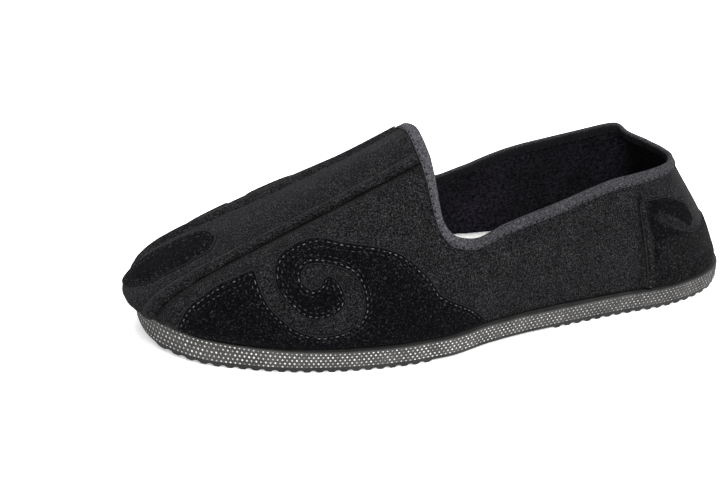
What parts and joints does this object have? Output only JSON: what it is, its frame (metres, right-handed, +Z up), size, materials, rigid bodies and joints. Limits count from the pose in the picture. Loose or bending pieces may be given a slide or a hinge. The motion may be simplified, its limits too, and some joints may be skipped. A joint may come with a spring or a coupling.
{
  "type": "kung fu shoe",
  "caption": "Left slip-on cloth shoe: low felt upper with raised beams and velvet cloud-scroll applique, twill-bound collar and a ribbed rubber sole, open for the foot.",
  "frame": {"origin": "middle of the bounding box at floor level, under the shoe", "axes": "+X from heel to toe, +Y to the outer (lateral) side of this left shoe, +Z up"},
  "size_m": [0.2828, 0.0986, 0.0881],
  "materials": {
    "sole_rubber": "dark grey moulded rubber, finely studded side",
    "insole_cotton": "white woven cotton",
    "upper_felt": "napped black wool felt",
    "applique_velvet": "deep black velvet",
    "binding_twill": "grey twill tape"
  },
  "bodies": {
    "root": {"outsole": "sole_rubber", "insole": "insole_cotton", "upper": "upper_felt", "collar_binding": "binding_twill", "beam_lateral": "upper_felt", "beam_medial": "upper_felt", "scroll_lateral": "applique_velvet", "scroll_medial": "applique_velvet", "heel_patch": "applique_velvet", "toe_patch": "applique_velvet"}
  },
  "joints": []
}
